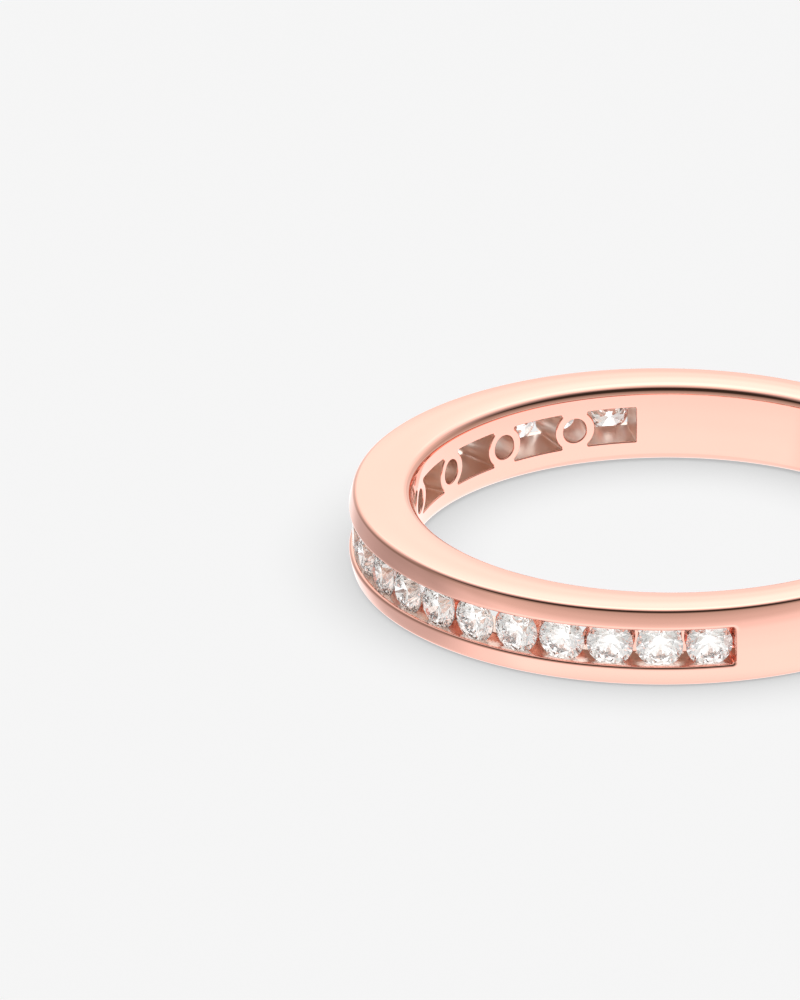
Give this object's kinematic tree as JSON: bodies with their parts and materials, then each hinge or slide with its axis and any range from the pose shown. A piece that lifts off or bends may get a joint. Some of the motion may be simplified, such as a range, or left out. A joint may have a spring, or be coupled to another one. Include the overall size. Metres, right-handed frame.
{
  "type": "wedding band",
  "caption": "Half-eternity wedding band: a low-domed rose-gold band with round brilliants channel-set round its front half over a pierced gallery.",
  "frame": {"origin": "centre of the band's outside circle, at the middle of its width", "axes": "+Z along the finger axis; -Y towards the head, the middle of the stone row; +X towards the row's first stone"},
  "size_m": [0.0206, 0.0206, 0.0028],
  "materials": {
    "rose_gold": "polished",
    "diamond": "polished"
  },
  "bodies": {
    "root": {"band": "rose_gold", "diamond_01": "diamond", "diamond_02": "diamond", "diamond_03": "diamond", "diamond_04": "diamond", "diamond_05": "diamond", "diamond_06": "diamond", "diamond_07": "diamond", "diamond_08": "diamond", "diamond_09": "diamond", "diamond_10": "diamond", "diamond_11": "diamond", "diamond_12": "diamond", "diamond_13": "diamond", "diamond_14": "diamond", "diamond_15": "diamond", "diamond_16": "diamond", "diamond_17": "diamond", "diamond_18": "diamond", "diamond_19": "diamond", "diamond_20": "diamond"}
  },
  "joints": []
}
